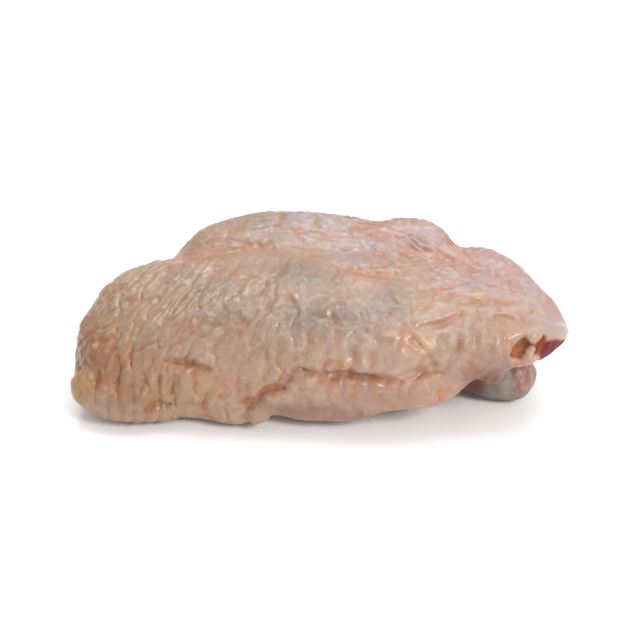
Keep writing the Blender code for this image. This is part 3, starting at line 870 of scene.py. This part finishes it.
def loose_folds_group():
    """Puffs between thin creases and thin crests on them, longer along the ridges than across."""
    tree = bpy.data.node_groups.new("loose folds", "GeometryNodeTree")
    for name in ("Across", "Along", "Width", "Length", "Stray", "Seed"):
        tree.interface.new_socket(name, in_out="INPUT", socket_type="NodeSocketFloat")
    for name in ("Puff", "Crest"):
        tree.interface.new_socket(name, in_out="OUTPUT", socket_type="NodeSocketFloat")
    given = add(tree, "NodeGroupInput").outputs
    strays = add(tree, "ShaderNodeTexNoise")
    feed(strays.inputs["Vector"], add(tree, "GeometryNodeInputPosition").outputs[0])
    set_inputs(strays, {"Scale": 230, "Detail": 1})
    stray = add(tree, "ShaderNodeSeparateXYZ")
    feed(stray.inputs[0], strays.outputs["Color"])
    across = reckon(tree, "DIVIDE", given["Across"], given["Width"])
    along = reckon(tree, "DIVIDE", given["Along"], given["Length"])
    spot = add(tree, "ShaderNodeCombineXYZ")
    drift = reckon(tree, "MULTIPLY_ADD", stray.outputs[0], given["Stray"], given["Seed"])
    feed(spot.inputs[0], reckon(tree, "ADD", across, drift))
    drift = reckon(tree, "MULTIPLY", stray.outputs[1], given["Stray"])
    feed(spot.inputs[1], reckon(tree, "ADD", along, drift))

    def from_middle(scale, shift):
        """How far flat noise is from its middle, which is nought along long winding lines."""
        moved = add(tree, "ShaderNodeVectorMath", operation="ADD")
        feed(moved.inputs[0], spot.outputs[0])
        moved.inputs[1].default_value = (shift, shift, 0)
        cloth = add(tree, "ShaderNodeTexNoise", noise_dimensions="2D")
        feed(cloth.inputs["Vector"], moved.outputs[0])
        cloth.inputs["Scale"].default_value = scale
        cloth.inputs["Detail"].default_value = 0.3
        cloth.inputs["Roughness"].default_value = 0.5
        return reckon(tree, "ABSOLUTE", reckon(tree, "SUBTRACT", cloth.outputs[0], 0.5))

    rounded = 0.65
    billow = reckon(tree, "POWER", ramp(tree, from_middle(1.0, 0.0), 0.0, 0.20), rounded)
    cells = add(tree, "ShaderNodeTexVoronoi", feature="DISTANCE_TO_EDGE", voronoi_dimensions="2D")
    feed(cells.inputs["Vector"], spot.outputs[0])
    set_inputs(cells, {"Scale": 0.8, "Randomness": 0.95})
    cell = reckon(tree, "POWER", ramp(tree, cells.outputs["Distance"], 0.0, 0.40), rounded)
    share_of_cells = 0.30
    puff = reckon(tree, "MULTIPLY", billow, 1 - share_of_cells)
    puff = reckon(tree, "MULTIPLY_ADD", cell, share_of_cells, puff)
    crest = reckon(tree, "POWER", ramp(tree, from_middle(1.5, 40.0), 0.11, 0.0), 1.3)
    out = add(tree, "NodeGroupOutput")
    feed(out.inputs["Puff"], puff)
    feed(out.inputs["Crest"], crest)
    return tree


def relief_tree():
    """Puffs the skin up between its creases, rucks it finely and raises its feather pits."""
    tree = bpy.data.node_groups.new("raw skin relief", "GeometryNodeTree")
    tree.interface.new_socket("Geometry", in_out="INPUT", socket_type="NodeSocketGeometry")
    for name in RELIEF:
        tree.interface.new_socket(name, in_out="INPUT", socket_type="NodeSocketFloat")
    tree.interface.new_socket("Finish", in_out="INPUT", socket_type="NodeSocketMaterial")
    tree.interface.new_socket("Geometry", in_out="OUTPUT", socket_type="NodeSocketGeometry")
    given = add(tree, "NodeGroupInput").outputs
    loose_folds = loose_folds_group()

    def folds(across, along, width, length, stray, seed_shift):
        node = add(tree, "GeometryNodeGroup", node_tree=loose_folds)
        feed(node.inputs["Across"], named_value(tree, across))
        feed(node.inputs["Along"], named_value(tree, along))
        feed(node.inputs["Width"], width)
        feed(node.inputs["Length"], length)
        node.inputs["Stray"].default_value = stray
        feed(node.inputs["Seed"], reckon(tree, "ADD", given["Seed"], seed_shift))
        return node.outputs["Puff"], node.outputs["Crest"]

    def by_limb(on_arm, on_forearm):
        mix = add(tree, "ShaderNodeMix", data_type="FLOAT")
        feed(mix.inputs["Factor"], named_value(tree, "on_forearm"))
        feed(mix.inputs["A"], on_arm)
        feed(mix.inputs["B"], on_forearm)
        return mix.outputs["Result"]

    wide, long = given["Ridge Width"], given["Ridge Length"]
    narrower, shorter = 0.36, 0.62
    narrow = reckon(tree, "MULTIPLY", wide, narrower)
    short = reckon(tree, "MULTIPLY", long, shorter)
    wave_width, wave_length = given["Wave Width"], given["Wave Length"]
    large, crest = folds("ridge_across", "ridge_along", wide, long, 1.0, 0.0)
    small, fine_crest = folds("ridge_across", "ridge_along", narrow, short, 1.1, 17.0)
    waves, wave_crest = folds("wave_across", "wave_along", wave_width, wave_length, 1.2, 31.0)
    fine = add(tree, "ShaderNodeMix", data_type="FLOAT")
    feed(fine.inputs["Factor"], named_value(tree, "fine"))
    feed(fine.inputs["A"], large)
    feed(fine.inputs["B"], small)
    puff = by_limb(fine.outputs["Result"], waves)
    fine_crest = reckon(tree, "MULTIPLY", fine_crest, 0.6)
    crests = by_limb(reckon(tree, "MAXIMUM", crest, fine_crest), wave_crest)

    place = add(tree, "GeometryNodeInputPosition").outputs[0]
    pits = add(tree, "ShaderNodeTexVoronoi")
    feed(pits.inputs["Vector"], place)
    feed(pits.inputs["Scale"], reckon(tree, "DIVIDE", 1.0, given["Pit Spacing"]))
    from_pit = reckon(tree, "MULTIPLY", pits.outputs["Distance"], given["Pit Spacing"])
    ring = ramp(tree, from_pit, reckon(tree, "MULTIPLY", given["Pit Radius"], 2.2), given["Pit Radius"])
    raised = reckon(tree, "MULTIPLY", ring, given["Pit Height"])

    pebbles = add(tree, "ShaderNodeTexVoronoi", feature="SMOOTH_F1")
    feed(pebbles.inputs["Vector"], place)
    feed(pebbles.inputs["Scale"], reckon(tree, "DIVIDE", 1.0, given["Pebble Size"]))
    pebbles.inputs["Smoothness"].default_value = 0.25
    pebble = ramp(tree, pebbles.outputs["Distance"], 0.62, 0.12)

    height = reckon(tree, "MULTIPLY", puff, named_value(tree, "puff"))
    height = reckon(tree, "ADD", height, reckon(tree, "MULTIPLY", pebble, named_value(tree, "pebbled")))
    height = reckon(tree, "ADD", height, reckon(tree, "MULTIPLY", crests, named_value(tree, "ruck")))
    height = reckon(tree, "ADD", height, raised)
    push = add(tree, "ShaderNodeVectorMath", operation="SCALE")
    feed(push.inputs[0], add(tree, "GeometryNodeInputNormal").outputs[0])
    feed(push.inputs["Scale"], height)

    body = given["Geometry"]
    for name, kind, value in (
        ("pillow", "FLOAT", puff),
        ("crest", "FLOAT", crests),
        ("pebble", "FLOAT", pebble),
        ("skin_place", "FLOAT_VECTOR", place),
    ):
        keep = add(tree, "GeometryNodeStoreNamedAttribute", data_type=kind, domain="POINT")
        feed(keep.inputs["Geometry"], body)
        keep.inputs["Name"].default_value = name
        feed(keep.inputs["Value"], value)
        body = keep.outputs["Geometry"]
    shift = add(tree, "GeometryNodeSetPosition")
    feed(shift.inputs["Geometry"], body)
    feed(shift.inputs["Offset"], push.outputs[0])
    real = add(tree, "GeometryNodeRealizeInstances")
    feed(real.inputs["Geometry"], shift.outputs["Geometry"])
    dress = add(tree, "GeometryNodeSetMaterial")
    feed(dress.inputs["Geometry"], real.outputs["Geometry"])
    feed(dress.inputs["Material"], given["Finish"])
    feed(add(tree, "NodeGroupOutput").inputs["Geometry"], dress.outputs["Geometry"])
    return tree


RELIEF = {
    "Ridge Width": 0.0062,
    "Ridge Length": 0.0105,
    "Wave Width": 0.0028,
    "Wave Length": 0.0075,
    "Pebble Size": 0.0017,
    "Pit Spacing": 0.0042,
    "Pit Radius": 0.0004,
    "Pit Height": 0.00014,
    "Seed": 7.0,
}


# By what the skin's own tone is multiplied in blotches and flecks and on its pebbles, and in its
# creases, where it is painted shade.
RUDDY = (1.10, 0.80, 0.78)
FATTY = (1.08, 1.10, 0.82)
PALE_FLECKS = (1.20, 1.28, 1.32)
SHADE_IN_CREASES = (0.96, 0.66, 0.46)
BETWEEN_PEBBLES = (0.94, 0.81, 0.71)
ON_PEBBLES = (1.07, 1.09, 1.11)
PEBBLE_FULL_HEIGHT = 0.25 * MM

# Colours of their own on the skin and in the cut, with a painted highlight on the crests, painted shade
# in the creases' stain and a painted shadow in the gap.
CREST_HIGHLIGHT_COLOUR = (0.52, 0.43, 0.37, 1)
PIT_COLOUR = (0.48, 0.215, 0.080, 1)
STAIN_AND_SHADE_COLOUR = (0.35, 0.135, 0.055, 1)
BRUISE_COLOUR = (0.38, 0.18, 0.25, 1)
FAT_COLOUR = (0.58, 0.43, 0.24, 1)
MEAT_COLOURS = ((0.150, 0.012, 0.008, 1), (0.085, 0.006, 0.004, 1))
HOLLOW_COLOURS = ((0.35, 0.140, 0.056, 1), (0.23, 0.074, 0.030, 1))
SLIT_COLOUR = (0.26, 0.055, 0.015, 1)
GAP_SHADOW_COLOUR = (0.06, 0.010, 0.008, 1)
SINEW_COLOUR = (0.44, 0.235, 0.165, 1)


def shade(tree, colour, factors, share):
    """Multiplies the colour by the factors by that share, which keeps its own tone."""
    node = add(tree, "ShaderNodeMix", data_type="RGBA", blend_type="MULTIPLY")
    feed(node.inputs["Factor"], share)
    feed(node.inputs["A"], colour)
    feed(node.inputs["B"], (*factors, 1))
    return node.outputs["Result"]


def skin_material():
    """Moist, slightly see-through skin, with painted highlights on its crests, and orange brown stain
    with painted shade in its creases.
    """
    made, tree, surface = new_material("raw skin")
    where = add(tree, "ShaderNodeTexCoord").outputs["Object"]
    # The undertone, with its painted shade under the shoulder.
    colour = add(tree, "ShaderNodeAttribute", attribute_name="undertone_and_shade").outputs["Color"]

    blotch = mottle(tree, where, 0.006, detail=3.0)
    colour = shade(tree, colour, RUDDY, ramp(tree, blotch, 0.45, 0.75, 0.0, 0.55))
    fatty = mottle(tree, where, 0.0045, detail=2.0, stretch=(1.3, 0.8, 0.7))
    colour = shade(tree, colour, FATTY, ramp(tree, fatty, 0.45, 0.75, 0.0, 0.55))
    fleck = mottle(tree, where, 0.0014, detail=3.0, roughness=0.6)
    colour = shade(tree, colour, PALE_FLECKS, ramp(tree, fleck, 0.50, 0.75, 0.0, 0.8))

    pillow = kept_value(tree, "pillow")
    # Painted shade in the creases, deepest where the puffs fall lowest.
    colour = shade(tree, colour, SHADE_IN_CREASES, ramp(tree, pillow, 0.48, 0.05, 0.0, 0.88))
    # Painted highlight along the crests.
    crest = ramp(tree, kept_value(tree, "crest"), 0.35, 0.95, 0.0, 0.12)
    colour = tint(tree, colour, CREST_HIGHLIGHT_COLOUR, crest)
    pebbly = reckon(tree, "MULTIPLY", kept_value(tree, "pebbled"), 1 / PEBBLE_FULL_HEIGHT)
    pebble = kept_value(tree, "pebble")
    for factors, low, high in ((BETWEEN_PEBBLES, 0.5, 0.0), (ON_PEBBLES, 0.6, 1.0)):
        share = reckon(tree, "MULTIPLY", ramp(tree, pebble, low, high), pebbly)
        colour = shade(tree, colour, factors, share)
    pits = add(tree, "ShaderNodeTexVoronoi")
    place = add(tree, "ShaderNodeAttribute", attribute_name="skin_place").outputs["Vector"]
    feed(pits.inputs["Vector"], place)
    pits.inputs["Scale"].default_value = 1 / RELIEF["Pit Spacing"]
    from_pit = reckon(tree, "MULTIPLY", pits.outputs["Distance"], RELIEF["Pit Spacing"])
    chance = add(tree, "ShaderNodeSeparateXYZ")
    feed(chance.inputs[0], pits.outputs["Color"])
    pitted = ramp(tree, from_pit, RELIEF["Pit Radius"] * 1.7, RELIEF["Pit Radius"] * 0.4, 0.0, 0.5)
    pitted = reckon(tree, "MULTIPLY", pitted, ramp(tree, chance.outputs[0], 0.3, 0.7, 0.25, 1.0))
    colour = tint(tree, colour, PIT_COLOUR, pitted)
    # The stain is orange brown and partly painted shade in the creases.
    for mark, mark_colour, strength in (
        ("stain", STAIN_AND_SHADE_COLOUR, 0.85),
        ("bruise", BRUISE_COLOUR, 0.4),
        ("fat", FAT_COLOUR, 0.45),
    ):
        share = reckon(tree, "MULTIPLY", kept_value(tree, mark), strength)
        colour = tint(tree, colour, mark_colour, share)

    fibre = mottle(tree, where, 0.0012, detail=4.0, stretch=(0.35, 1.0, 1.6))
    meat = tint(tree, *MEAT_COLOURS, ramp(tree, fibre, 0.35, 0.65))
    colour = tint(tree, colour, meat, kept_value(tree, "meat"))
    hollow = tint(tree, *HOLLOW_COLOURS, ramp(tree, fibre, 0.35, 0.65))
    colour = tint(tree, colour, hollow, ramp(tree, kept_value(tree, "pocket"), 0.2, 0.8))
    colour = tint(tree, colour, SLIT_COLOUR, ramp(tree, kept_value(tree, "slit"), 0.2, 0.8))
    # Painted shadow in the gap under the cut.
    colour = tint(tree, colour, GAP_SHADOW_COLOUR, kept_value(tree, "gap"))
    colour = tint(tree, colour, SINEW_COLOUR, kept_value(tree, "sinew"))
    feed(surface.inputs["Base Color"], colour)

    moisture = mottle(tree, where, 0.0018, detail=3.0)
    roughness = ramp(tree, moisture, 0.35, 0.65, 0.31, 0.52)
    cut_open = reckon(tree, "MAXIMUM", kept_value(tree, "meat"), kept_value(tree, "pocket"))
    roughness = reckon(tree, "MULTIPLY_ADD", cut_open, 0.42, roughness)
    feed(surface.inputs["Roughness"], roughness)
    coat = ramp(tree, moisture, 0.60, 0.35, 0.02, 0.15)
    drier = reckon(tree, "MULTIPLY", cut_open, 0.2)
    feed(surface.inputs["Coat Weight"], reckon(tree, "SUBTRACT", coat, drier))
    set_inputs(surface, {
        "Coat Roughness": 0.12,
        "Subsurface Weight": 0.40,
        "Subsurface Radius": (1.0, 0.42, 0.25),
        "Subsurface Scale": 0.0018,
    })
    grain = mottle(tree, where, 0.0007, detail=2.0, roughness=0.5)
    bump = add(tree, "ShaderNodeBump")
    set_inputs(bump, {"Strength": 0.6, "Distance": 0.0002})
    feed(bump.inputs["Height"], reckon(tree, "MULTIPLY_ADD", grain, 0.35, fleck))
    feed(surface.inputs["Normal"], bump.outputs["Normal"])
    return made


def grow_relief(skin):
    tree = relief_tree()
    relief = skin.modifiers.new("relief", "NODES")
    relief.node_group = tree
    for name, value in RELIEF.items():
        relief[interface_id(tree, name)] = value
    relief[interface_id(tree, "Finish")] = skin_material()
    bake_modifiers(skin)


def press_flat(skin):
    """The wing's own weight presses its soft underside flat on what it lies on."""
    points = points_of(skin)
    points[:, 2] = np.maximum(points[:, 2], 0)
    move_points(skin, points)


def thin_out(skin):
    """Brings the skin down to its triangle budget, most of it where the skin is flattest."""
    skin.modifiers.new("triangles", "TRIANGULATE")
    bake_modifiers(skin)
    fewer = skin.modifiers.new("fewer triangles", "DECIMATE")
    fewer.ratio = min(1, SKIN_TRIANGLES / len(skin.data.polygons))
    bake_modifiers(skin)


wing = dense_skin()
fill_valleys(wing)
fold_skin(wing)
lay_out_wrinkles(wing)
grow_relief(wing)
press_flat(wing)
thin_out(wing)
wing.data.shade_smooth()
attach(wing, "root")
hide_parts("wing")


# Surface, light and camera.
# The wing lies on a plain pale surface, under a large soft light from above and behind.
# The camera stands where the photograph's did, turned so that the wing fills the picture.

FLOOR_SIZE = 4.0
FLOOR_COLOUR = (0.96, 0.96, 0.965, 1)
AIM = Vector((-0.0012, -0.004, 0.0155))
LENS = 92
WORLD_STRENGTH = 0.70
LIGHTS = (
    # Name, place, size, watts.
    ("softbox", (0.02, 0.08, 0.60), 0.46, 2.5),
    ("window", (0.32, -0.32, 0.34), 0.14, 1.9),
    ("lamp", (-0.14, 0.22, 0.40), 0.04, 0.20),
)


def lay_floor():
    mesh = bmesh.new()
    bmesh.ops.create_grid(mesh, x_segments=1, y_segments=1, size=FLOOR_SIZE / 2)
    data = bpy.data.meshes.new("floor")
    mesh.to_mesh(data)
    mesh.free()
    floor = bpy.data.objects.new("floor", data)
    bpy.context.scene.collection.objects.link(floor)
    made, tree, surface = new_material("pale floor")
    set_inputs(surface, {"Base Color": FLOOR_COLOUR, "Roughness": 0.6})
    floor.data.materials.append(made)


def aim_at(thing, place, target):
    thing.location = place
    thing.rotation_euler = (Vector(target) - Vector(place)).to_track_quat("-Z", "Y").to_euler()


def hang_light(name, place, size, watts):
    light = bpy.data.lights.new(name, "AREA")
    light.size = size
    light.energy = watts
    lamp = bpy.data.objects.new(name, light)
    bpy.context.scene.collection.objects.link(lamp)
    aim_at(lamp, place, AIM)


lay_floor()
for light in LIGHTS:
    hang_light(*light)
world = bpy.data.worlds.new("studio")
world.use_nodes = True
set_inputs(world.node_tree.nodes["Background"], {"Color": (1, 1, 1, 1), "Strength": WORLD_STRENGTH})
bpy.context.scene.world = world
bpy.context.scene.view_settings.view_transform = "Standard"
camera = bpy.data.objects.new("camera", bpy.data.cameras.new("camera"))
camera.data.lens = LENS
camera.data.clip_start = 0.01
bpy.context.scene.collection.objects.link(camera)
aim_at(camera, EYE, AIM)
bpy.context.scene.camera = camera
